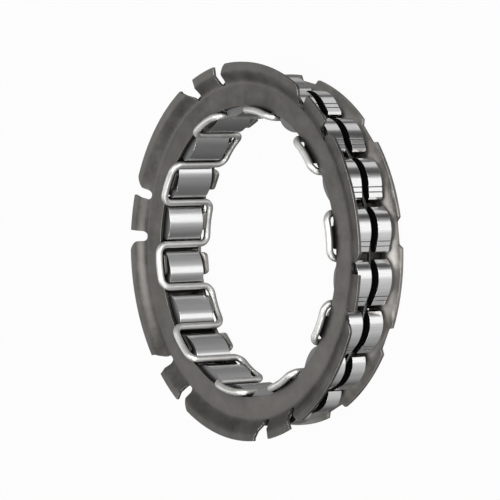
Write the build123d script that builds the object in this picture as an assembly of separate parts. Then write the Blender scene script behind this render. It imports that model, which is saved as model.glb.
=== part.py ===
from build123d import *
from math import asin, cos, degrees, pi, radians, sin, tan
import os

# A bare sprag clutch ring. Its axis is Z, its front face looks up, and the origin is the
# middle of the ring, halfway along the sprags. Lengths are in millimetres, angles in degrees,
# counted anticlockwise from +X as seen from the front.

# Races that the ring runs between, and the sprags that fill the gap
outer_race_radius = 28.0
race_gap = 6.15
sprag_count = 20
sprag_length = 6.65
first_sprag_angle = 6.7
sprag_head_gap = 1.4

# Groove round the outer heads, the garter spring in it, and the lines scored on each head
groove_share = 0.39
garter_diameter = 0.7
garter_lift = 0.35
garter_side_gap = 0.35
score_width = 0.14
score_depth = 0.15
score_start = 0.2
score_spacing = 0.8

# Retaining wire. The wire and the garter spring are drawn with eight flats.
wire_diameter = 0.9
wire_race_gap = 0.3
wire_sprag_gap = 0.2
wire_tongue_gap = 0.425
wire_bend_radius = 1.45
round_flats = 8

# Sheet of the two rings
sheet = 0.5
sprag_side_gap = 0.3
wire_sheet_gap = 0.25
rim_step = 1.1
tongue_length = 1.0
tongue_width = 3.7
tongue_corner = 0.7
bar_width = 1.4

# Front ring: wide and narrow tabs by turns round the rim
front_rim_height = 2.25
front_flange_share = 0.22
front_step_share = 0.22
tab_pairs = 6
narrow_tab_angle = 46.2
narrow_tab_width = 6.0
front_gap_width = 1.7
front_gap_rise = 3.25
wide_tab_corner = 2.25
wide_gap_slant = 2.6

# Rear ring: equal tabs, one gap behind every second sprag
rear_rim_height = 0.25
rear_flange_share = 0.18
rear_step_share = 0.28
rear_gap_width = 3.6
rear_gap_rise = 0.9
rear_gap_slant = 38
rear_tongue_slope = 34

# Side view of a sprag: how far its faces stand from its middle line, as shares of its width,
# and how high they lie between the races, as shares of the gap
toe_fast_side = 0.26
neck_fast_side = 0.212
neck_slow_side = 0.325
heel_rise = 0.6

pitch = 360 / sprag_count
half_length = sprag_length / 2
sprag_height = race_gap
inner_race_radius = outer_race_radius - race_gap
sprag_width = 2 * pi * outer_race_radius / sprag_count - sprag_head_gap
groove_floor_radius = outer_race_radius - groove_share * sprag_height
groove_width = garter_diameter + 2 * garter_side_gap
garter_ring_radius = groove_floor_radius + garter_lift + garter_diameter / 2

wire_radius = wire_diameter / 2
wire_leg_radius = inner_race_radius + wire_race_gap + wire_radius
leg_offset_angle = degrees(
    asin((toe_fast_side * sprag_width + wire_sprag_gap + wire_radius) / wire_leg_radius)
)
first_loop_angle = first_sprag_angle + leg_offset_angle - pitch / 2

sheet_inner_face = half_length + sprag_side_gap
sheet_middle = sheet_inner_face + sheet / 2
rim_middle = sheet_middle + rim_step
wire_reach = sheet_middle + sheet / 2 + wire_tongue_gap + wire_radius
ring_inner_radius = wire_leg_radius + wire_radius + wire_sheet_gap
tongue_tip_radius = ring_inner_radius - tongue_length
front_rim_radius = outer_race_radius + front_rim_height
rear_rim_radius = outer_race_radius + rear_rim_height
bar_radius = (wire_leg_radius + wire_radius + inner_race_radius + heel_rise * sprag_height) / 2
bar_angle = (pitch - degrees((neck_slow_side - neck_fast_side) * sprag_width / bar_radius)) / 2
through = 2 * wire_reach


def turn(angle):
    return Rot(0, 0, angle)


# Ring of bent sheet. The middle line of its section is given from the inside outward, and both
# faces lie half a sheet from it, also round the corners.
def sheet_ring(middle_line):
    points = [Vector(*point) for point in middle_line]
    ways = [(b - a).normalized() for a, b in zip(points, points[1:])]
    ways = [ways[0], *ways, ways[-1]]
    upper = []
    lower = []
    for point, before, after in zip(points, ways, ways[1:]):
        along = (before + after).normalized()
        across = Vector(-along.Y, along.X) * (sheet / 2 / along.dot(after))
        upper.append(point + across)
        lower.append(point - across)
    section = make_face(Polyline(*upper, *reversed(lower), close=True))
    return revolve(Plane.XZ * section, Axis.Z, 360)


# Bore of a ring, with a tongue left standing at the middle of every second wire loop
def tongued_bore():
    opening = Circle(ring_inner_radius)
    reach = 2 * tongue_length
    tongue = Pos(tongue_tip_radius + reach / 2, 0) * RectangleRounded(reach, tongue_width, tongue_corner)
    for k in range(0, sprag_count, 2):
        opening -= turn(first_loop_angle + k * pitch) * tongue
    return extrude(opening, through, both=True)


# Gap in the front rim. One side is straight, along the narrow tab. The other rounds off the
# wide tab's corner, or first slants away from the narrow tab. The side is +1 or -1.
def front_gap(side, slant):
    half = front_gap_width / 2
    floor = front_rim_radius - front_gap_rise
    low = floor + half
    past = front_rim_radius + wide_tab_corner
    corner = min(wide_tab_corner, 0.95 * (front_rim_radius - low))
    corner = corner if slant == 0 else corner / 4
    knee = front_rim_radius - corner
    away = half + slant * (knee - low) / (front_rim_radius - low)
    top = away + corner
    middle = (knee + corner * sin(pi / 4), -side * (away + corner * (1 - cos(pi / 4))))
    outline = Polyline((past, -side * top), (past, side * half), (low, side * half))
    outline += ThreePointArc((low, side * half), (floor, 0), (low, -side * half))
    outline += Line((low, -side * half), (knee, -side * away))
    outline += ThreePointArc((knee, -side * away), middle, (front_rim_radius, -side * top))
    outline += Line((front_rim_radius, -side * top), (past, -side * top))
    return extrude(make_face(outline), through, both=True)


# Strip that stands on the front ring and ends on the rear one
def cage_bar(angle):
    strip = Pos(bar_radius, 0) * Rectangle(sheet, bar_width)
    return turn(angle) * Pos(0, 0, -sheet_inner_face) * extrude(strip, sheet_inner_face + sheet_middle)


def front_ring():
    ring_width = front_rim_radius - ring_inner_radius
    flange_root = front_rim_radius - front_flange_share * ring_width
    step_root = flange_root - front_step_share * ring_width
    ring = sheet_ring([
        (tongue_tip_radius - sheet, sheet_middle),
        (step_root, sheet_middle),
        (flange_root, rim_middle),
        (front_rim_radius, rim_middle),
    ])
    cuts = [tongued_bore()]
    gap_turn = degrees((narrow_tab_width + front_gap_width) / 2 / front_rim_radius)
    slanted_gaps = [(1, 1), (3, -1), (4, -1)]
    for k in range(tab_pairs):
        for side in (1, -1):
            centre = narrow_tab_angle + k * 360 / tab_pairs + side * gap_turn
            slant = wide_gap_slant if (k, side) in slanted_gaps else 0
            cuts.append(turn(centre) * front_gap(-side, slant))
    first_bar = first_sprag_angle + bar_angle
    return ring - cuts + [cage_bar(first_bar + k * pitch) for k in range(sprag_count)]


def rear_ring():
    ring_width = rear_rim_radius - ring_inner_radius
    flange_root = rear_rim_radius - rear_flange_share * ring_width
    step_root = flange_root - rear_step_share * ring_width
    fall = (tongue_length + sheet) * tan(radians(rear_tongue_slope))
    ring = sheet_ring([
        (tongue_tip_radius - sheet, -sheet_middle - fall),
        (ring_inner_radius, -sheet_middle),
        (step_root, -sheet_middle),
        (flange_root, -rim_middle),
        (rear_rim_radius, -rim_middle),
    ])
    root = rear_rim_radius - rear_gap_rise
    past = rear_rim_radius + sheet
    half = rear_gap_width / 2
    wide = half + (past - root) * tan(radians(rear_gap_slant))
    corners = [(root, -half), (past, -wide), (past, wide), (root, half)]
    gap = extrude(Polygon(*corners, align=None), through, both=True)
    gaps = [turn(first_loop_angle + k * pitch) * gap for k in range(0, sprag_count, 2)]
    return ring - [tongued_bore(), *gaps]


def round_section(diameter):
    return RegularPolygon(diameter / 2, round_flats, major_radius=False, rotation=180 / round_flats)


# One closed run of wire: straight legs between the sprags, joined by a loop in front of every
# second sprag and behind the others. Each bend lies in the plane that touches the leg circle.
def retaining_wire():
    bend = wire_bend_radius
    low = wire_reach - bend
    knee = bend * sin(pi / 4)
    half_turn = radians(pitch / 2)
    loop_radius = wire_leg_radius - bend / tan(half_turn)
    loop_top = (wire_leg_radius - loop_radius) * cos(half_turn) + bend * sin(half_turn) + loop_radius
    path = []
    for k in range(sprag_count):
        side = 1 if k % 2 == 0 else -1
        middle = turn(first_loop_angle + k * pitch)
        before = middle * turn(-pitch / 2) * Pos(wire_leg_radius, 0, 0)
        after = middle * turn(pitch / 2) * Pos(wire_leg_radius, 0, 0)
        foot = (before * Pos(0, 0, side * low)).position
        rise = (before * Pos(0, bend - knee, side * (low + knee))).position
        start = (before * Pos(0, bend, side * wire_reach)).position
        top = (middle * Pos(loop_top, 0, side * wire_reach)).position
        end = (after * Pos(0, -bend, side * wire_reach)).position
        fall = (after * Pos(0, knee - bend, side * (low + knee))).position
        leg = (after * Pos(0, 0, side * low)).position
        next_foot = (after * Pos(0, 0, -side * low)).position
        path += [
            ThreePointArc(foot, rise, start),
            ThreePointArc(start, top, end),
            ThreePointArc(end, fall, leg),
            Line(leg, next_foot),
        ]
    run = Wire(path)
    outward = turn(first_loop_angle - pitch / 2) * Pos(1, 0, 0)
    plane = Plane(origin=run.position_at(0), x_dir=outward.position, z_dir=run.tangent_at(0))
    return sweep(plane * round_section(wire_diameter), path=run)


def garter_spring():
    section = Plane.XZ * Pos(garter_ring_radius, 0) * round_section(garter_diameter)
    return revolve(section, Axis.Z, 360)


# Point of a sprag's side view, with the sprag standing at +X
def sprag_point(rise, across):
    return (inner_race_radius + rise * sprag_height, across * sprag_width)


# Closed side view of one sprag. Both cams touch their race where they are tangent to it. The
# outer head reaches further on the clockwise side, where it falls away slowly and flat.
def sprag_outline():
    crown = sprag_point(1, 0)
    crown_slow = sprag_point(0.92, -0.298)
    crown_fast = sprag_point(0.977, 0.162)
    tip_fast = sprag_point(0.724, 0.446)
    heel_fast = sprag_point(0.634, 0.432)
    neck_top_fast = sprag_point(0.48, 0.26)
    neck_fast = sprag_point(0.37, neck_fast_side)
    neck_low_fast = sprag_point(0.252, 0.243)
    toe_fast = sprag_point(0.106, toe_fast_side)
    toe = sprag_point(0, 0.0135)
    toe_slow = sprag_point(0.244, -0.392)
    neck_slow = sprag_point(0.4, -neck_slow_side)
    neck_top_slow = sprag_point(0.5, -0.35)
    heel_slow = sprag_point(0.634, -0.5)
    tip_slow = sprag_point(0.724, -0.548)
    flat_slow = sprag_point(0.797, -0.52)
    fast_arc = TangentArc(crown, crown_fast, tangent=(0, 1))
    outline = TangentArc(crown, crown_slow, tangent=(0, -1)) + fast_arc
    outline += TangentArc(crown_fast, tip_fast, tangent=fast_arc % 1)
    outline += Polyline(tip_fast, heel_fast, neck_top_fast)
    outline += ThreePointArc(neck_top_fast, neck_fast, neck_low_fast)
    outline += Line(neck_low_fast, toe_fast)
    outline += TangentArc(toe, toe_fast, tangent=(0, 1))
    outline += TangentArc(toe, toe_slow, tangent=(0, -1))
    outline += ThreePointArc(toe_slow, neck_slow, neck_top_slow)
    outline += Polyline(neck_top_slow, heel_slow, tip_slow, flat_slow, crown_slow)
    return outline, Line(crown_slow, flat_slow)


# One sprag: its side view drawn out along the ring's axis, with two lines scored into the flat
# of the outer head, and the garter spring's groove cut round
def sprag(angle):
    outline, flat = sprag_outline()
    profile = make_face(outline)
    for distance in (score_start, score_start + score_spacing):
        mark = Plane(origin=flat @ (distance / flat.length), x_dir=flat % 0)
        profile -= mark * Rectangle(score_width, 2 * score_depth)
    body = extrude(profile, half_length, both=True)
    rim = outer_race_radius + sheet
    groove = extrude(Circle(rim) - Circle(groove_floor_radius), groove_width / 2, both=True)
    return turn(angle) * (body - groove)


def build():
    os.makedirs("parts", exist_ok=True)
    pieces = {
        "front_ring": front_ring(),
        "rear_ring": rear_ring(),
        "retaining_wire": retaining_wire(),
        "garter_spring": garter_spring(),
    }
    for k in range(sprag_count):
        pieces[f"sprag_{k + 1:02d}"] = sprag(first_sprag_angle + k * pitch)
    for name, piece in pieces.items():
        export_step(piece, f"parts/{name}.step")


build()
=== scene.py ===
import bpy
from math import cos, pi, radians, sin
from mathutils import Matrix, Vector


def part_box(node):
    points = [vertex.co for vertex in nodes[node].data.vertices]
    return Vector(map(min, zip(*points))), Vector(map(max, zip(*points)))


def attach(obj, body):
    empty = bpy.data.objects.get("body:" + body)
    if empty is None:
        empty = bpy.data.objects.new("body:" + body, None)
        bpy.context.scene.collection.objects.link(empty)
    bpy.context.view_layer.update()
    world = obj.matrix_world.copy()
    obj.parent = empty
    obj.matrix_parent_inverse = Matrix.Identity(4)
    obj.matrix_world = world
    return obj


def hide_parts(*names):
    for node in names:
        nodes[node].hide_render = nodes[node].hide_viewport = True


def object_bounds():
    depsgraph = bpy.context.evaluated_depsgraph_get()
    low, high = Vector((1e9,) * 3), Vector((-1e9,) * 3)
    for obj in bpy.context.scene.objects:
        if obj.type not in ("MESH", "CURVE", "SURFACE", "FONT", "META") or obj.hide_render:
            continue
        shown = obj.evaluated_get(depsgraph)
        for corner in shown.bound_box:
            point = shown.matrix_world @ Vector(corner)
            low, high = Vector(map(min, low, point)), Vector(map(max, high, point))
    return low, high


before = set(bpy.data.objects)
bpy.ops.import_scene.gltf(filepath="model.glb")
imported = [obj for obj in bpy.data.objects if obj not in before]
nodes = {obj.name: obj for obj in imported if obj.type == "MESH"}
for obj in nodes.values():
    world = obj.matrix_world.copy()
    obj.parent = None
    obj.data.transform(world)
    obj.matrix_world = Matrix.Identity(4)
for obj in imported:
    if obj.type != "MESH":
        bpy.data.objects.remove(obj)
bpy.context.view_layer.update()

# Studio. The clutch ring lies on its rear face on a plain pale table. The camera looks at its
# front from the photograph's angle: 37 degrees above the table, turned so that +Y is upward in
# the picture, 561 mm away, with the long lens that the photograph's perspective gives.
view_angle = radians(52.7357)
roll = radians(-2.0457)
camera_distance = 0.5607117
focal_length_in_pixels = 3498.06
picture_width_in_pixels = 500
toward = Vector((sin(view_angle), 0, cos(view_angle)))
level = Vector((cos(view_angle), 0, -sin(view_angle)))
right = cos(roll) * level + sin(roll) * Vector((0, 1, 0))
upward = -sin(roll) * level + cos(roll) * Vector((0, 1, 0))
camera_data = bpy.data.cameras.new("camera")
camera = bpy.data.objects.new("camera", camera_data)
bpy.context.scene.collection.objects.link(camera)
turned = Matrix((right, upward, toward)).transposed()
camera.matrix_world = Matrix.Translation(toward * camera_distance) @ turned.to_4x4()
camera_data.sensor_width = 36
camera_data.lens = focal_length_in_pixels * 36 / picture_width_in_pixels
camera_data.shift_x = -0.03196
camera_data.shift_y = 0.00143
camera_data.clip_start = 0.01
camera_data.clip_end = 20
bpy.context.scene.camera = camera
bpy.context.scene.view_settings.view_transform = "Standard"

# Tones of the room as polished metal mirrors them: pale overhead and darker at eye level. Low
# down they go by the bearing: a bright window at the right of the picture, grey below it, a
# narrower window at the top, and a dim one far round to the left. Inside the ring the dark side
# is greyer, because the sprags light each other there.
room_tones = bpy.data.node_groups.new("room_tones", "ShaderNodeTree")
room_tones.interface.new_socket("Direction", in_out="INPUT", socket_type="NodeSocketVector")
room_tones.interface.new_socket("Inside", in_out="INPUT", socket_type="NodeSocketFloat")
room_tones.interface.new_socket("Tone", in_out="OUTPUT", socket_type="NodeSocketColor")
given = room_tones.nodes.new("NodeGroupInput")
result = room_tones.nodes.new("NodeGroupOutput")
split = room_tones.nodes.new("ShaderNodeSeparateXYZ")
room_tones.links.new(given.outputs["Direction"], split.inputs[0])
around = room_tones.nodes.new("ShaderNodeMath")
around.operation = "ARCTAN2"
room_tones.links.new(split.outputs["Y"], around.inputs[0])
room_tones.links.new(split.outputs["X"], around.inputs[1])
bearing = room_tones.nodes.new("ShaderNodeMapRange")
bearing.inputs["From Min"].default_value = -pi
bearing.inputs["From Max"].default_value = pi
room_tones.links.new(around.outputs[0], bearing.inputs["Value"])


def grey_ramp(source, stops):
    ramp = room_tones.nodes.new("ShaderNodeValToRGB")
    ramp.color_ramp.interpolation = "EASE"
    for position, grey in stops:
        stop = ramp.color_ramp.elements.new(position)
        stop.color = (grey, grey, grey, 1)
    ramp.color_ramp.elements.remove(ramp.color_ramp.elements[-1])
    ramp.color_ramp.elements.remove(ramp.color_ramp.elements[0])
    room_tones.links.new(source, ramp.inputs["Fac"])
    return ramp.outputs["Color"]


def tone_mix(share, first, second):
    mix = room_tones.nodes.new("ShaderNodeMix")
    mix.data_type = "RGBA"
    room_tones.links.new(share, mix.inputs["Factor"])
    room_tones.links.new(first, mix.inputs["A"])
    room_tones.links.new(second, mix.inputs["B"])
    return mix.outputs["Result"]


# Each pair is a bearing in degrees, counted from +X towards +Y, and the tone seen there.
outside_levels = (
    (-130, 0.1), (-85, 0.3), (-40, 0.5), (-12, 0.62), (-3, 1.0),
    (24, 1.0), (33, 0.3), (46, 0.07), (62, 0.1), (74, 0.6), (96, 0.6),
    (105, 0.05), (125, 0.4), (150, 0.4), (168, 0.1),
)
inside_levels = (
    (-130, 0.08), (-60, 0.14), (-26, 0.24), (-9, 0.4), (0, 1.0),
    (19, 1.0), (28, 0.42), (48, 0.28), (115, 0.2), (170, 0.1),
)
outside_stops = [(0.5 + angle / 360, grey) for angle, grey in outside_levels]
inside_stops = [(0.5 + angle / 360, grey) for angle, grey in inside_levels]
outside = grey_ramp(bearing.outputs["Result"], outside_stops)
inside = grey_ramp(bearing.outputs["Result"], inside_stops)
low_tone = tone_mix(given.outputs["Inside"], outside, inside)
# Each pair is the upward part of a direction and the tone seen there.
height_levels = ((0.01, 0.45), (0.3, 0.38), (0.6, 0.34), (0.85, 0.55), (0.99, 0.6))
high_tone = grey_ramp(split.outputs["Z"], height_levels)
rise = room_tones.nodes.new("ShaderNodeMapRange")
rise.inputs["From Min"].default_value = -0.3
rise.inputs["From Max"].default_value = 0.05
room_tones.links.new(split.outputs["Z"], rise.inputs["Value"])
room_tones.links.new(tone_mix(rise.outputs["Result"], low_tone, high_tone), result.inputs["Tone"])

# Table top: plain pale card. It stays white to the camera, mirrors the tones of the room in the
# metal, and keeps the ring's soft shadow.
bpy.ops.object.select_all(action="DESELECT")
bpy.ops.mesh.primitive_plane_add(size=4, location=(0, 0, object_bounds()[0][2]))
table = bpy.context.object
table.name = "table_top"
card = bpy.data.materials.new("pale_card")
card.use_nodes = True
tree = card.node_tree
tree.nodes.clear()
output = tree.nodes.new("ShaderNodeOutputMaterial")
seen = tree.nodes.new("ShaderNodeLightPath")
paper = tree.nodes.new("ShaderNodeBsdfPrincipled")
paper.inputs["Base Color"].default_value = (0.5, 0.5, 0.5, 1)
paper.inputs["Roughness"].default_value = 0.9
paper.inputs["Specular IOR Level"].default_value = 0.1
glow = tree.nodes.new("ShaderNodeEmission")
glow.inputs["Strength"].default_value = 1.0
most_glow = 0.96
share = tree.nodes.new("ShaderNodeMath")
share.operation = "MULTIPLY"
share.inputs[1].default_value = most_glow
tree.links.new(seen.outputs["Is Camera Ray"], share.inputs[0])
mixed = tree.nodes.new("ShaderNodeMixShader")
tree.links.new(share.outputs[0], mixed.inputs["Fac"])
tree.links.new(paper.outputs[0], mixed.inputs[1])
tree.links.new(glow.outputs[0], mixed.inputs[2])
surface = tree.nodes.new("ShaderNodeNewGeometry")
onward = tree.nodes.new("ShaderNodeVectorMath")
onward.operation = "SCALE"
onward.inputs["Scale"].default_value = -1
tree.links.new(surface.outputs["Incoming"], onward.inputs[0])
tones = tree.nodes.new("ShaderNodeGroup")
tones.node_tree = room_tones
tree.links.new(onward.outputs["Vector"], tones.inputs["Direction"])
place = tree.nodes.new("ShaderNodeTexCoord")
from_middle = tree.nodes.new("ShaderNodeVectorMath")
from_middle.operation = "LENGTH"
tree.links.new(place.outputs["Object"], from_middle.inputs[0])
bore_edge_radius = 0.024
bore_inside_radius = 0.02
hole = tree.nodes.new("ShaderNodeMapRange")
hole.inputs["From Min"].default_value = bore_edge_radius
hole.inputs["From Max"].default_value = bore_inside_radius
tree.links.new(from_middle.outputs["Value"], hole.inputs["Value"])
tree.links.new(hole.outputs["Result"], tones.inputs["Inside"])
mirrored = tree.nodes.new("ShaderNodeEmission")
mirrored.inputs["Strength"].default_value = 1.0
tree.links.new(tones.outputs["Tone"], mirrored.inputs["Color"])
finish = tree.nodes.new("ShaderNodeMixShader")
tree.links.new(seen.outputs["Is Glossy Ray"], finish.inputs["Fac"])
tree.links.new(mixed.outputs[0], finish.inputs[1])
tree.links.new(mirrored.outputs[0], finish.inputs[2])
tree.links.new(finish.outputs[0], output.inputs["Surface"])
table.data.materials.append(card)

# Light. The room's own tones all round, a broad soft lamp overhead, and three weaker strips at
# the sides.
world = bpy.data.worlds.new("studio")
bpy.context.scene.world = world
world.use_nodes = True
tree = world.node_tree
tree.nodes.clear()
output = tree.nodes.new("ShaderNodeOutputWorld")
seen = tree.nodes.new("ShaderNodeLightPath")
room = tree.nodes.new("ShaderNodeBackground")
room.inputs["Strength"].default_value = 1.0
place = tree.nodes.new("ShaderNodeTexCoord")
tones = tree.nodes.new("ShaderNodeGroup")
tones.node_tree = room_tones
tree.links.new(place.outputs["Generated"], tones.inputs["Direction"])
tree.links.new(tones.outputs["Tone"], room.inputs["Color"])
white = tree.nodes.new("ShaderNodeBackground")
white.inputs["Color"].default_value = (1, 1, 1, 1)
mixed = tree.nodes.new("ShaderNodeMixShader")
tree.links.new(seen.outputs["Is Camera Ray"], mixed.inputs["Fac"])
tree.links.new(room.outputs[0], mixed.inputs[1])
tree.links.new(white.outputs[0], mixed.inputs[2])
tree.links.new(mixed.outputs[0], output.inputs["Surface"])
for name, azimuth, elevation, distance, width, height, power in (
    ("overhead", 8, 67, 0.9, 0.45, 0.45, 3.2),
    ("near_strip", 14, 14, 0.6, 0.5, 0.2, 1.6),
    ("lower_strip", 305, 20, 0.7, 0.3, 0.2, 1.0),
    ("left_strip", 190, 45, 0.8, 0.3, 0.3, 0.5),
):
    lamp_data = bpy.data.lights.new(name, "AREA")
    lamp_data.shape = "RECTANGLE"
    lamp_data.size = width
    lamp_data.size_y = height
    lamp_data.energy = power
    lamp = bpy.data.objects.new(name, lamp_data)
    bpy.context.scene.collection.objects.link(lamp)
    spot = Vector((
        cos(radians(elevation)) * cos(radians(azimuth)),
        cos(radians(elevation)) * sin(radians(azimuth)),
        sin(radians(elevation)),
    ))
    lamp.location = spot * distance
    lamp.rotation_euler = spot.to_track_quat("Z", "Y").to_euler()

# Effect shared by the sheet and the sprags: tumbled edges. Corners are softened over about a
# tenth of a millimetre, and the mask marks where the surface turns, where the metal is painted
# brighter: bare metal and a painted highlight.
edges = bpy.data.node_groups.new("tumbled_edges", "ShaderNodeTree")
edges.interface.new_socket("Radius", in_out="INPUT", socket_type="NodeSocketFloat")
edges.interface.new_socket("Normal", in_out="OUTPUT", socket_type="NodeSocketVector")
edges.interface.new_socket("Edge", in_out="OUTPUT", socket_type="NodeSocketFloat")
given = edges.nodes.new("NodeGroupInput")
result = edges.nodes.new("NodeGroupOutput")
rounded = edges.nodes.new("ShaderNodeBevel")
rounded.samples = 6
edges.links.new(given.outputs["Radius"], rounded.inputs["Radius"])
surface = edges.nodes.new("ShaderNodeNewGeometry")
agree = edges.nodes.new("ShaderNodeVectorMath")
agree.operation = "DOT_PRODUCT"
edges.links.new(rounded.outputs["Normal"], agree.inputs[0])
edges.links.new(surface.outputs["Normal"], agree.inputs[1])
spread = edges.nodes.new("ShaderNodeMapRange")
spread.inputs["From Min"].default_value = 0.995
spread.inputs["From Max"].default_value = 0.86
edges.links.new(agree.outputs["Value"], spread.inputs["Value"])
edges.links.new(rounded.outputs["Normal"], result.inputs["Normal"])
edges.links.new(spread.outputs["Result"], result.inputs["Edge"])

# Effect shared by the sheet, the wire and the sprags: painted shade in corners, scored lines and
# narrow gaps. The value is 1 on open faces and falls towards 0 where other faces stand close
# round a point.
corners = bpy.data.node_groups.new("painted_corner_shade", "ShaderNodeTree")
corners.interface.new_socket("Distance", in_out="INPUT", socket_type="NodeSocketFloat")
corners.interface.new_socket("Open", in_out="OUTPUT", socket_type="NodeSocketFloat")
given = corners.nodes.new("NodeGroupInput")
result = corners.nodes.new("NodeGroupOutput")
closeness = corners.nodes.new("ShaderNodeAmbientOcclusion")
closeness.samples = 6
corners.links.new(given.outputs["Distance"], closeness.inputs["Distance"])
shade_ramp = corners.nodes.new("ShaderNodeMapRange")
shade_ramp.inputs["From Min"].default_value = 0.3
shade_ramp.inputs["From Max"].default_value = 0.95
corners.links.new(closeness.outputs["AO"], shade_ramp.inputs["Value"])
corners.links.new(shade_ramp.outputs["Result"], result.inputs["Open"])

# Effect shared by the sheet, the wire and the sprags: broad, faint and uneven patches of oil
# and handling.
patches = bpy.data.node_groups.new("handling_patches", "ShaderNodeTree")
patches.interface.new_socket("Scale", in_out="INPUT", socket_type="NodeSocketFloat")
patches.interface.new_socket("Value", in_out="OUTPUT", socket_type="NodeSocketFloat")
given = patches.nodes.new("NodeGroupInput")
result = patches.nodes.new("NodeGroupOutput")
place = patches.nodes.new("ShaderNodeTexCoord")
cloud = patches.nodes.new("ShaderNodeTexNoise")
cloud.inputs["Detail"].default_value = 5
cloud.inputs["Roughness"].default_value = 0.65
patches.links.new(place.outputs["Object"], cloud.inputs["Vector"])
patches.links.new(given.outputs["Scale"], cloud.inputs["Scale"])
patches.links.new(cloud.outputs["Fac"], result.inputs["Value"])

# Effect on the two rings: pressed folds. The step between the flat and the flange is a soft S,
# so the surface turns gradually over it. Lengths are radii from the ring's axis, and the slopes
# are the angles of the step and of the flange. The mask marks the fold lines themselves.
folds = bpy.data.node_groups.new("pressed_folds", "ShaderNodeTree")
for name in ("Inner Fold", "Outer Fold", "Softness", "Step Slope", "Flange Slope"):
    folds.interface.new_socket(name, in_out="INPUT", socket_type="NodeSocketFloat")
folds.interface.new_socket("Normal", in_out="OUTPUT", socket_type="NodeSocketVector")
folds.interface.new_socket("Line", in_out="OUTPUT", socket_type="NodeSocketFloat")
given = folds.nodes.new("NodeGroupInput")
result = folds.nodes.new("NodeGroupOutput")


def fold_math(operation, *values):
    node = folds.nodes.new("ShaderNodeMath")
    node.operation = operation
    for socket, value in zip(node.inputs, values):
        if isinstance(value, (int, float)):
            socket.default_value = value
        else:
            folds.links.new(value, socket)
    return node.outputs[0]


def fold_vector(operation, *values):
    node = folds.nodes.new("ShaderNodeVectorMath")
    node.operation = operation
    for socket, value in zip(node.inputs, values):
        folds.links.new(value, socket)
    return node


def fold_turn(radius, centre):
    width = given.outputs["Softness"]
    turn = folds.nodes.new("ShaderNodeMapRange")
    turn.interpolation_type = "SMOOTHSTEP"
    folds.links.new(radius, turn.inputs["Value"])
    folds.links.new(fold_math("SUBTRACT", centre, width), turn.inputs["From Min"])
    folds.links.new(fold_math("ADD", centre, width), turn.inputs["From Max"])
    return turn.outputs["Result"]


place = folds.nodes.new("ShaderNodeTexCoord")
split = folds.nodes.new("ShaderNodeSeparateXYZ")
folds.links.new(place.outputs["Object"], split.inputs[0])
outward = folds.nodes.new("ShaderNodeCombineXYZ")
folds.links.new(split.outputs["X"], outward.inputs["X"])
folds.links.new(split.outputs["Y"], outward.inputs["Y"])
radius = fold_vector("LENGTH", outward.outputs[0]).outputs["Value"]
outward = fold_vector("NORMALIZE", outward.outputs[0]).outputs["Vector"]
inner_turn = fold_turn(radius, given.outputs["Inner Fold"])
outer_turn = fold_turn(radius, given.outputs["Outer Fold"])
start_slope = fold_math("MULTIPLY", given.outputs["Step Slope"], inner_turn)
slope_change = fold_math("SUBTRACT", given.outputs["Flange Slope"], given.outputs["Step Slope"])
end_slope = fold_math("MULTIPLY", slope_change, outer_turn)
slope = fold_math("ADD", start_slope, end_slope)
inward_share = fold_math("MULTIPLY", fold_math("SINE", slope), -1)
leaning = folds.nodes.new("ShaderNodeVectorMath")
leaning.operation = "SCALE"
folds.links.new(outward, leaning.inputs[0])
folds.links.new(inward_share, leaning.inputs["Scale"])
upright = folds.nodes.new("ShaderNodeCombineXYZ")
folds.links.new(fold_math("COSINE", slope), upright.inputs["Z"])
bent = fold_vector("ADD", leaning.outputs["Vector"], upright.outputs[0]).outputs["Vector"]
to_world = folds.nodes.new("ShaderNodeVectorTransform")
to_world.vector_type = "NORMAL"
to_world.convert_from = "OBJECT"
to_world.convert_to = "WORLD"
folds.links.new(bent, to_world.inputs[0])
surface = folds.nodes.new("ShaderNodeNewGeometry")
both_normals = fold_vector("DOT_PRODUCT", surface.outputs["Normal"], to_world.outputs[0])
agreement = both_normals.outputs["Value"]
facing = folds.nodes.new("ShaderNodeVectorMath")
facing.operation = "SCALE"
folds.links.new(to_world.outputs[0], facing.inputs[0])
folds.links.new(fold_math("SIGN", agreement), facing.inputs["Scale"])
least_agreement = 0.8
tongue_end_radius = 0.0238
near_in_slope = fold_math("GREATER_THAN", fold_math("ABSOLUTE", agreement), least_agreement)
off_tongues = fold_math("GREATER_THAN", radius, tongue_end_radius)
on_sheet_face = fold_math("MULTIPLY", near_in_slope, off_tongues)
chosen = folds.nodes.new("ShaderNodeMix")
chosen.data_type = "VECTOR"
folds.links.new(on_sheet_face, chosen.inputs["Factor"])
folds.links.new(surface.outputs["Normal"], chosen.inputs["A"])
folds.links.new(facing.outputs["Vector"], chosen.inputs["B"])
folds.links.new(chosen.outputs["Result"], result.inputs["Normal"])
line_width = 0.0002
inner_line = fold_math("COMPARE", radius, given.outputs["Inner Fold"], line_width)
outer_line = fold_math("COMPARE", radius, given.outputs["Outer Fold"], line_width)
folds.links.new(fold_math("MAXIMUM", inner_line, outer_line), result.inputs["Line"])
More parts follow.
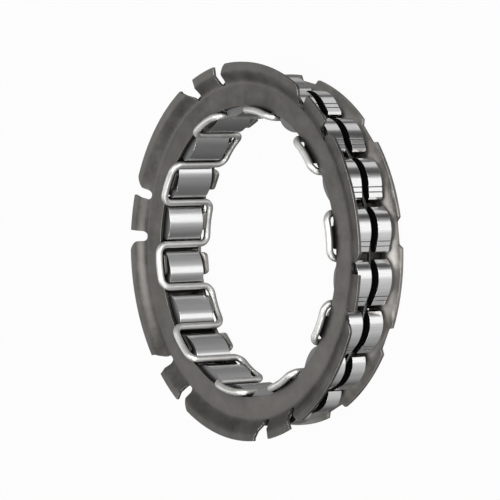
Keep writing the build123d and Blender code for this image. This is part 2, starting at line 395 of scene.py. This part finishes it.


# Stamped rings, front and rear. Cold-rolled sheet with a dark, warm, slightly oily finish; the
# rear ring's copy is painted lighter, as painted light. The sheared edges are painted brighter,
# part bare metal and part painted highlight, and fine rolling lines run straight across the ring.
def stamped_sheet(
    name, painted_lightness, shade_reach, inner_fold, outer_fold, step_slope, flange_slope
):
    sheet = bpy.data.materials.new(name)
    sheet.use_nodes = True
    tree = sheet.node_tree
    metal = tree.nodes["Principled BSDF"]
    metal.inputs["Metallic"].default_value = 1
    fold = tree.nodes.new("ShaderNodeGroup")
    fold.node_tree = folds
    fold.inputs["Inner Fold"].default_value = inner_fold
    fold.inputs["Outer Fold"].default_value = outer_fold
    fold.inputs["Softness"].default_value = 0.0008
    fold.inputs["Step Slope"].default_value = step_slope
    fold.inputs["Flange Slope"].default_value = flange_slope
    edge = tree.nodes.new("ShaderNodeGroup")
    edge.node_tree = edges
    edge.inputs["Radius"].default_value = 0.00012
    off_line = tree.nodes.new("ShaderNodeMath")
    off_line.operation = "SUBTRACT"
    off_line.use_clamp = True
    tree.links.new(edge.outputs["Edge"], off_line.inputs[0])
    tree.links.new(fold.outputs["Line"], off_line.inputs[1])
    patch = tree.nodes.new("ShaderNodeGroup")
    patch.node_tree = patches
    patch.inputs["Scale"].default_value = 240
    dark_steel = (0.1, 0.095, 0.089)
    pale_steel = (0.2, 0.191, 0.181)
    tone = tree.nodes.new("ShaderNodeValToRGB")
    tone.color_ramp.elements[0].position = 0.3
    tone.color_ramp.elements[0].color = [part * painted_lightness for part in dark_steel] + [1]
    tone.color_ramp.elements[1].position = 0.72
    tone.color_ramp.elements[1].color = [part * painted_lightness for part in pale_steel] + [1]
    tree.links.new(patch.outputs["Value"], tone.inputs["Fac"])
    # The sheared edges are painted brighter: bare sheared metal and a painted highlight.
    bare_edge_and_highlight = tree.nodes.new("ShaderNodeMix")
    bare_edge_and_highlight.data_type = "RGBA"
    bare_edge_and_highlight.inputs["B"].default_value = (0.5, 0.49, 0.47, 1)
    tree.links.new(off_line.outputs[0], bare_edge_and_highlight.inputs["Factor"])
    tree.links.new(tone.outputs["Color"], bare_edge_and_highlight.inputs["A"])
    # Painted shade: the sheet's colour darkens to near-black in corners, in gaps and under the
    # wire.
    corner = tree.nodes.new("ShaderNodeGroup")
    corner.node_tree = corners
    corner.inputs["Distance"].default_value = shade_reach
    corner_shaded = tree.nodes.new("ShaderNodeMix")
    corner_shaded.data_type = "RGBA"
    corner_shaded.inputs["A"].default_value = (0.02, 0.019, 0.018, 1)
    tree.links.new(corner.outputs["Open"], corner_shaded.inputs["Factor"])
    tree.links.new(bare_edge_and_highlight.outputs["Result"], corner_shaded.inputs["B"])
    tree.links.new(corner_shaded.outputs["Result"], metal.inputs["Base Color"])
    gloss = tree.nodes.new("ShaderNodeMapRange")
    gloss.inputs["From Min"].default_value = 0.3
    gloss.inputs["From Max"].default_value = 0.7
    gloss.inputs["To Min"].default_value = 0.36
    gloss.inputs["To Max"].default_value = 0.5
    tree.links.new(patch.outputs["Value"], gloss.inputs["Value"])
    tree.links.new(gloss.outputs["Result"], metal.inputs["Roughness"])
    surface = tree.nodes.new("ShaderNodeNewGeometry")
    rounding = tree.nodes.new("ShaderNodeVectorMath")
    rounding.operation = "SUBTRACT"
    tree.links.new(edge.outputs["Normal"], rounding.inputs[0])
    tree.links.new(surface.outputs["Normal"], rounding.inputs[1])
    off_fold = tree.nodes.new("ShaderNodeMix")
    off_fold.data_type = "VECTOR"
    tree.links.new(fold.outputs["Line"], off_fold.inputs["Factor"])
    tree.links.new(rounding.outputs["Vector"], off_fold.inputs["A"])
    joined = tree.nodes.new("ShaderNodeVectorMath")
    joined.operation = "ADD"
    tree.links.new(off_fold.outputs["Result"], joined.inputs[0])
    tree.links.new(fold.outputs["Normal"], joined.inputs[1])
    whole = tree.nodes.new("ShaderNodeVectorMath")
    whole.operation = "NORMALIZE"
    tree.links.new(joined.outputs["Vector"], whole.inputs[0])
    place = tree.nodes.new("ShaderNodeTexCoord")
    stretch = tree.nodes.new("ShaderNodeMapping")
    stretch.inputs["Scale"].default_value = (900, 90, 900)
    rolling = tree.nodes.new("ShaderNodeTexNoise")
    rolling.inputs["Scale"].default_value = 6
    rolling.inputs["Detail"].default_value = 4
    tree.links.new(place.outputs["Object"], stretch.inputs["Vector"])
    tree.links.new(stretch.outputs["Vector"], rolling.inputs["Vector"])
    grain = tree.nodes.new("ShaderNodeBump")
    grain.inputs["Strength"].default_value = 0.3
    grain.inputs["Distance"].default_value = 0.00002
    tree.links.new(rolling.outputs["Fac"], grain.inputs["Height"])
    tree.links.new(whole.outputs["Vector"], grain.inputs["Normal"])
    tree.links.new(grain.outputs["Normal"], metal.inputs["Normal"])
    return sheet


front_sheet = stamped_sheet(
    "front_sheet",
    painted_lightness=1.0,
    shade_reach=0.0018,
    inner_fold=0.02719,
    outer_fold=0.02872,
    step_slope=radians(35.7),
    flange_slope=radians(8),
)
for slot in nodes["front_ring"].material_slots:
    slot.material = front_sheet
# Painted light: the rear ring is the same sheet as the front one, painted 2.8 times lighter.
rear_sheet = stamped_sheet(
    "rear_sheet",
    painted_lightness=2.8,
    shade_reach=0.001,
    inner_fold=0.02597,
    outer_fold=0.02736,
    step_slope=radians(-38.4),
    flange_slope=radians(-16),
)
for slot in nodes["rear_ring"].material_slots:
    slot.material = rear_sheet

# Flat tongues of the rear ring, stamped with it from the same sheet. One stands in front of each
# rear loop of the wire, and covers all of the loop's opening but its two rounded corners.
tongue_tip = 0.0223
tongue_root = 0.02335
tongue_width = 0.0037
tongue_height = 0.00048
tongue_middle = -0.003875
tongue_rounding = 0.0007
tongue_step = radians(36)
further_tongues = 9
first_tongue = radians(4.24 + 18)
bpy.ops.object.select_all(action="DESELECT")
tongue_place = ((tongue_tip + tongue_root) / 2, 0, tongue_middle)
bpy.ops.mesh.primitive_cube_add(size=1, location=tongue_place)
tongues = bpy.context.object
tongues.name = "rear_loop_tongues"
tongues.scale = (tongue_root - tongue_tip, tongue_width, tongue_height)
bpy.ops.object.transform_apply(location=True, rotation=True, scale=True)
bpy.ops.object.mode_set(mode="EDIT")
bpy.ops.mesh.select_all(action="DESELECT")
bpy.ops.object.mode_set(mode="OBJECT")
for line in tongues.data.edges:
    ends = [tongues.data.vertices[index].co for index in line.vertices]
    at_tip = all(abs(point.x - tongue_tip) < 0.00001 for point in ends)
    line.select = at_tip and ends[0].y == ends[1].y
bpy.ops.object.mode_set(mode="EDIT")
bpy.ops.mesh.select_mode(type="EDGE")
bpy.ops.mesh.bevel(offset=tongue_rounding, segments=5)
bpy.ops.mesh.select_all(action="SELECT")
bpy.ops.mesh.spin(
    steps=further_tongues,
    dupli=True,
    angle=-further_tongues * tongue_step,
    center=(0, 0, 0),
    axis=(0, 0, 1),
)
bpy.ops.object.mode_set(mode="OBJECT")
tongues.rotation_euler.z = first_tongue
bpy.ops.object.transform_apply(location=True, rotation=True, scale=True)
tongues.data.materials.append(rear_sheet)
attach(tongues, "cage")

# Retaining wire. One closed run of hard-drawn round spring wire, a little thicker than the solid
# one. Straight legs pass between the sprags, and rounded loops join them by turns in front of the
# sprags and behind them. Two loops are shaped and then repeated round the ring.
wire_radius = 0.00056
leg_radius = 0.0226
bend_radius = 0.00145
pitch = radians(18)
first_front_loop = radians(4.95)
first_leg = first_front_loop - pitch / 2
further_pairs = 9
loop_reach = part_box("retaining_wire")[1][2] - wire_radius
leg_reach = loop_reach - bend_radius
loop_centre = bend_radius / sin(pitch / 2)
bpy.ops.object.select_all(action="DESELECT")
foot = (leg_radius * cos(first_leg), leg_radius * sin(first_leg), 0)
bpy.ops.mesh.primitive_circle_add(vertices=16, radius=wire_radius, location=foot)
wire = bpy.context.object
wire.name = "round_retaining_wire"
bpy.ops.object.transform_apply(location=True, rotation=True, scale=True)
bpy.ops.object.mode_set(mode="EDIT")
bpy.ops.mesh.select_all(action="SELECT")
bpy.ops.mesh.extrude_region_move(TRANSFORM_OT_translate={"value": (0, 0, leg_reach)})
for side, leg_length in ((1, 2 * leg_reach), (-1, leg_reach)):
    before = first_leg if side == 1 else first_leg + pitch
    for end in (1, -1):
        leg = before if end == 1 else before + pitch
        out = Vector((cos(leg), sin(leg), 0))
        along = Vector((-sin(leg), cos(leg), 0))
        centre = leg_radius * out + end * bend_radius * along + Vector((0, 0, side * leg_reach))
        bpy.ops.mesh.spin(steps=7, angle=pi / 2, center=centre, axis=side * out)
        if end == 1:
            middle = before + pitch / 2
            centre = (loop_centre * cos(middle), loop_centre * sin(middle), 0)
            bpy.ops.mesh.spin(steps=4, angle=pitch, center=centre, axis=(0, 0, -1))
    bpy.ops.mesh.extrude_region_move(TRANSFORM_OT_translate={"value": (0, 0, -side * leg_length)})
bpy.ops.mesh.select_all(action="SELECT")
bpy.ops.mesh.spin(
    steps=further_pairs,
    dupli=True,
    angle=further_pairs * 2 * pitch,
    center=(0, 0, 0),
    axis=(0, 0, 1),
)
bpy.ops.mesh.select_all(action="SELECT")
bpy.ops.mesh.remove_doubles(threshold=0.00002)
bpy.ops.mesh.normals_make_consistent(inside=False)
bpy.ops.object.mode_set(mode="OBJECT")
bpy.ops.object.shade_smooth()
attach(wire, "cage")
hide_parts("retaining_wire")
bright_wire = bpy.data.materials.new("drawn_wire")
bright_wire.use_nodes = True
tree = bright_wire.node_tree
metal = tree.nodes["Principled BSDF"]
metal.inputs["Metallic"].default_value = 1
patch = tree.nodes.new("ShaderNodeGroup")
patch.node_tree = patches
patch.inputs["Scale"].default_value = 420
tone = tree.nodes.new("ShaderNodeValToRGB")
tone.color_ramp.elements[0].position = 0.3
tone.color_ramp.elements[0].color = (0.76, 0.755, 0.735, 1)
tone.color_ramp.elements[1].position = 0.7
tone.color_ramp.elements[1].color = (0.9, 0.895, 0.87, 1)
tree.links.new(patch.outputs["Value"], tone.inputs["Fac"])
# Painted shade: the wire's colour darkens where it runs close to the sheet and the sprags.
corner = tree.nodes.new("ShaderNodeGroup")
corner.node_tree = corners
corner.inputs["Distance"].default_value = 0.0012
corner_shaded = tree.nodes.new("ShaderNodeMix")
corner_shaded.data_type = "RGBA"
corner_shaded.inputs["A"].default_value = (0.1, 0.098, 0.095, 1)
tree.links.new(corner.outputs["Open"], corner_shaded.inputs["Factor"])
tree.links.new(tone.outputs["Color"], corner_shaded.inputs["B"])
tree.links.new(corner_shaded.outputs["Result"], metal.inputs["Base Color"])
gloss = tree.nodes.new("ShaderNodeMapRange")
gloss.inputs["From Min"].default_value = 0.3
gloss.inputs["From Max"].default_value = 0.7
gloss.inputs["To Min"].default_value = 0.42
gloss.inputs["To Max"].default_value = 0.52
tree.links.new(patch.outputs["Value"], gloss.inputs["Value"])
tree.links.new(gloss.outputs["Result"], metal.inputs["Roughness"])
wire.data.materials.append(bright_wire)

# Garter spring. A close-wound coil of fine wire, bent round into a ring: some thirteen hundred
# turns, each a ridge across the ring, with painted shade in the seams between them.
spring_radius = 0.00035
spring_ring_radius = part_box("garter_spring")[1][0] - spring_radius
coil_turns = 1320
coil_lean = 6000
bpy.ops.object.select_all(action="DESELECT")
bpy.ops.mesh.primitive_circle_add(
    vertices=12,
    radius=spring_radius,
    location=(spring_ring_radius, 0, 0),
    rotation=(pi / 2, 0, 0),
)
spring = bpy.context.object
spring.name = "round_garter_spring"
bpy.ops.object.transform_apply(location=True, rotation=True, scale=True)
bpy.ops.object.mode_set(mode="EDIT")
bpy.ops.mesh.select_all(action="SELECT")
bpy.ops.mesh.spin(steps=240, angle=2 * pi, center=(0, 0, 0), axis=(0, 0, 1))
bpy.ops.mesh.select_all(action="SELECT")
bpy.ops.mesh.remove_doubles(threshold=0.00001)
bpy.ops.mesh.normals_make_consistent(inside=False)
bpy.ops.object.mode_set(mode="OBJECT")
bpy.ops.object.shade_smooth()
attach(spring, "cage")
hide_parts("garter_spring")
coil = bpy.data.materials.new("close_wound_coil")
coil.use_nodes = True
tree = coil.node_tree
metal = tree.nodes["Principled BSDF"]
metal.inputs["Metallic"].default_value = 1
metal.inputs["Roughness"].default_value = 0.26
place = tree.nodes.new("ShaderNodeTexCoord")
split = tree.nodes.new("ShaderNodeSeparateXYZ")
tree.links.new(place.outputs["Object"], split.inputs[0])
around = tree.nodes.new("ShaderNodeMath")
around.operation = "ARCTAN2"
tree.links.new(split.outputs["Y"], around.inputs[0])
tree.links.new(split.outputs["X"], around.inputs[1])
turns = tree.nodes.new("ShaderNodeMath")
turns.operation = "MULTIPLY"
turns.inputs[1].default_value = coil_turns
tree.links.new(around.outputs[0], turns.inputs[0])
lean = tree.nodes.new("ShaderNodeMath")
lean.operation = "MULTIPLY_ADD"
lean.inputs[1].default_value = coil_lean
tree.links.new(split.outputs["Z"], lean.inputs[0])
tree.links.new(turns.outputs[0], lean.inputs[2])
ridge = tree.nodes.new("ShaderNodeMath")
ridge.operation = "SINE"
tree.links.new(lean.outputs[0], ridge.inputs[0])
tone = tree.nodes.new("ShaderNodeMapRange")
tone.inputs["From Min"].default_value = -1
tone.inputs["From Max"].default_value = 0.2
tree.links.new(ridge.outputs[0], tone.inputs["Value"])
# Painted shade: the seams between the turns are painted near-black.
seam_shade = tree.nodes.new("ShaderNodeMix")
seam_shade.data_type = "RGBA"
seam_shade.inputs["A"].default_value = (0.015, 0.015, 0.015, 1)
seam_shade.inputs["B"].default_value = (0.16, 0.16, 0.16, 1)
tree.links.new(tone.outputs["Result"], seam_shade.inputs["Factor"])
tree.links.new(seam_shade.outputs["Result"], metal.inputs["Base Color"])
ribs = tree.nodes.new("ShaderNodeBump")
ribs.inputs["Strength"].default_value = 0.6
ribs.inputs["Distance"].default_value = 0.00004
tree.links.new(ridge.outputs[0], ribs.inputs["Height"])
tree.links.new(ribs.outputs["Normal"], metal.inputs["Normal"])
spring.data.materials.append(coil)

# Sprags. Drawn and ground bearing steel: fine lines run along each one, its corners get a
# painted highlight, and no two catch the light quite alike. Each is a copy of the solid sprag
# with a fuller toe, as the photograph has it: wider behind and in front, and flatter on the back.
groove_half_width = 0.00071
groove_start_radius = 0.0252
least_end_normal = 0.9
ground_steel = bpy.data.materials.new("ground_steel")
ground_steel.use_nodes = True
tree = ground_steel.node_tree
metal = tree.nodes["Principled BSDF"]
metal.inputs["Metallic"].default_value = 1
edge = tree.nodes.new("ShaderNodeGroup")
edge.node_tree = edges
edge.inputs["Radius"].default_value = 0.0001
place = tree.nodes.new("ShaderNodeTexCoord")
stretch = tree.nodes.new("ShaderNodeMapping")
stretch.inputs["Scale"].default_value = (9000, 9000, 260)
tree.links.new(place.outputs["Object"], stretch.inputs["Vector"])
lines = tree.nodes.new("ShaderNodeTexNoise")
lines.inputs["Scale"].default_value = 1
lines.inputs["Detail"].default_value = 3
tree.links.new(stretch.outputs["Vector"], lines.inputs["Vector"])
tone = tree.nodes.new("ShaderNodeValToRGB")
tone.color_ramp.elements[0].position = 0.3
tone.color_ramp.elements[0].color = (0.88, 0.88, 0.885, 1)
tone.color_ramp.elements[1].position = 0.7
tone.color_ramp.elements[1].color = (0.97, 0.97, 0.97, 1)
tree.links.new(lines.outputs["Fac"], tone.inputs["Fac"])
# Painted highlight: corners found by the edge mask are painted almost white.
bare_edge_and_highlight = tree.nodes.new("ShaderNodeMix")
bare_edge_and_highlight.data_type = "RGBA"
bare_edge_and_highlight.inputs["B"].default_value = (1.0, 1.0, 0.99, 1)
tree.links.new(edge.outputs["Edge"], bare_edge_and_highlight.inputs["Factor"])
tree.links.new(tone.outputs["Color"], bare_edge_and_highlight.inputs["A"])
split = tree.nodes.new("ShaderNodeSeparateXYZ")
tree.links.new(place.outputs["Object"], split.inputs[0])
height = tree.nodes.new("ShaderNodeMath")
height.operation = "ABSOLUTE"
tree.links.new(split.outputs["Z"], height.inputs[0])
# Painted shade: the groove round the outer pads is painted near-black.
in_groove = tree.nodes.new("ShaderNodeMath")
in_groove.operation = "LESS_THAN"
in_groove.inputs[1].default_value = groove_half_width
tree.links.new(height.outputs[0], in_groove.inputs[0])
from_axis = tree.nodes.new("ShaderNodeVectorMath")
from_axis.operation = "LENGTH"
flat_place = tree.nodes.new("ShaderNodeCombineXYZ")
tree.links.new(split.outputs["X"], flat_place.inputs["X"])
tree.links.new(split.outputs["Y"], flat_place.inputs["Y"])
tree.links.new(flat_place.outputs[0], from_axis.inputs[0])
outside = tree.nodes.new("ShaderNodeMath")
outside.operation = "GREATER_THAN"
outside.inputs[1].default_value = groove_start_radius
tree.links.new(from_axis.outputs["Value"], outside.inputs[0])
groove_shade_mask = tree.nodes.new("ShaderNodeMath")
groove_shade_mask.operation = "MULTIPLY"
tree.links.new(in_groove.outputs[0], groove_shade_mask.inputs[0])
tree.links.new(outside.outputs[0], groove_shade_mask.inputs[1])
groove_shaded = tree.nodes.new("ShaderNodeMix")
groove_shaded.data_type = "RGBA"
groove_shaded.inputs["B"].default_value = (0.04, 0.04, 0.042, 1)
tree.links.new(groove_shade_mask.outputs[0], groove_shaded.inputs["Factor"])
facing = tree.nodes.new("ShaderNodeSeparateXYZ")
tree.links.new(place.outputs["Normal"], facing.inputs[0])
end_normal = tree.nodes.new("ShaderNodeMath")
end_normal.operation = "ABSOLUTE"
tree.links.new(facing.outputs["Z"], end_normal.inputs[0])
on_end = tree.nodes.new("ShaderNodeMath")
on_end.operation = "GREATER_THAN"
on_end.inputs[1].default_value = least_end_normal
tree.links.new(end_normal.outputs[0], on_end.inputs[0])
ends = tree.nodes.new("ShaderNodeMix")
ends.data_type = "RGBA"
ends.inputs["B"].default_value = (0.24, 0.24, 0.24, 1)
tree.links.new(on_end.outputs[0], ends.inputs["Factor"])
tree.links.new(bare_edge_and_highlight.outputs["Result"], ends.inputs["A"])
tree.links.new(ends.outputs["Result"], groove_shaded.inputs["A"])
# Painted shade: the sprag's colour darkens in corners, scored lines and narrow gaps.
corner = tree.nodes.new("ShaderNodeGroup")
corner.node_tree = corners
corner.inputs["Distance"].default_value = 0.0004
corner_shaded = tree.nodes.new("ShaderNodeMix")
corner_shaded.data_type = "RGBA"
corner_shaded.inputs["A"].default_value = (0.05, 0.05, 0.05, 1)
tree.links.new(corner.outputs["Open"], corner_shaded.inputs["Factor"])
tree.links.new(groove_shaded.outputs["Result"], corner_shaded.inputs["B"])
tree.links.new(corner_shaded.outputs["Result"], metal.inputs["Base Color"])
patch = tree.nodes.new("ShaderNodeGroup")
patch.node_tree = patches
patch.inputs["Scale"].default_value = 300
gloss = tree.nodes.new("ShaderNodeMapRange")
gloss.inputs["From Min"].default_value = 0.3
gloss.inputs["From Max"].default_value = 0.7
gloss.inputs["To Min"].default_value = 0.12
gloss.inputs["To Max"].default_value = 0.2
tree.links.new(patch.outputs["Value"], gloss.inputs["Value"])
satin_ends = tree.nodes.new("ShaderNodeMix")
satin_ends.inputs["B"].default_value = 0.5
tree.links.new(on_end.outputs[0], satin_ends.inputs["Factor"])
tree.links.new(gloss.outputs["Result"], satin_ends.inputs["A"])
tree.links.new(satin_ends.outputs["Result"], metal.inputs["Roughness"])
grain = tree.nodes.new("ShaderNodeBump")
grain.inputs["Strength"].default_value = 0.08
grain.inputs["Distance"].default_value = 0.000006
tree.links.new(lines.outputs["Fac"], grain.inputs["Height"])
tree.links.new(edge.outputs["Normal"], grain.inputs["Normal"])
tree.links.new(grain.outputs["Normal"], metal.inputs["Normal"])
first_sprag = radians(6.7)
sprag_step = radians(18)
race_radius = 0.02185
race_gap = 0.00615
# The toe ends and fades at shares of the gap between the races, counted from the inner race.
toe_end = 0.44
toe_fade = 0.19
back_swell = 0.24
back_flattening = 0.12
front_swell = 0.09
for number in range(20):
    node_name = f"sprag_{number + 1:02d}"
    bpy.ops.object.select_all(action="DESELECT")
    sprag = bpy.data.objects.new(f"full_toed_{node_name}", nodes[node_name].data.copy())
    bpy.context.scene.collection.objects.link(sprag)
    bpy.context.view_layer.objects.active = sprag
    sprag.select_set(True)
    bpy.ops.mesh.customdata_custom_splitnormals_clear()
    bpy.ops.object.mode_set(mode="EDIT")
    bpy.ops.mesh.select_all(action="SELECT")
    bpy.ops.mesh.remove_doubles(threshold=0.000001)
    bpy.ops.object.mode_set(mode="OBJECT")
    turn = first_sprag + number * sprag_step
    out = Vector((cos(turn), sin(turn), 0))
    along = Vector((-out.y, out.x, 0))
    # Across is measured along the ring, and the back of the sprag is on its negative side.
    for vertex in sprag.data.vertices:
        rise = (vertex.co.dot(out) - race_radius) / race_gap
        across = vertex.co.dot(along)
        toe_share = min(1, max(0, (toe_end - rise) / toe_fade))
        if across < 0:
            vertex.co += toe_share * back_swell * across * along
            vertex.co -= toe_share * back_flattening * rise * race_gap * out
        else:
            vertex.co += toe_share * front_swell * across * along
    bpy.ops.object.shade_smooth_by_angle(angle=radians(24))
    sprag.data.materials.clear()
    sprag.data.materials.append(ground_steel)
    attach(sprag, f"{node_name}_body")
    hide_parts(node_name)
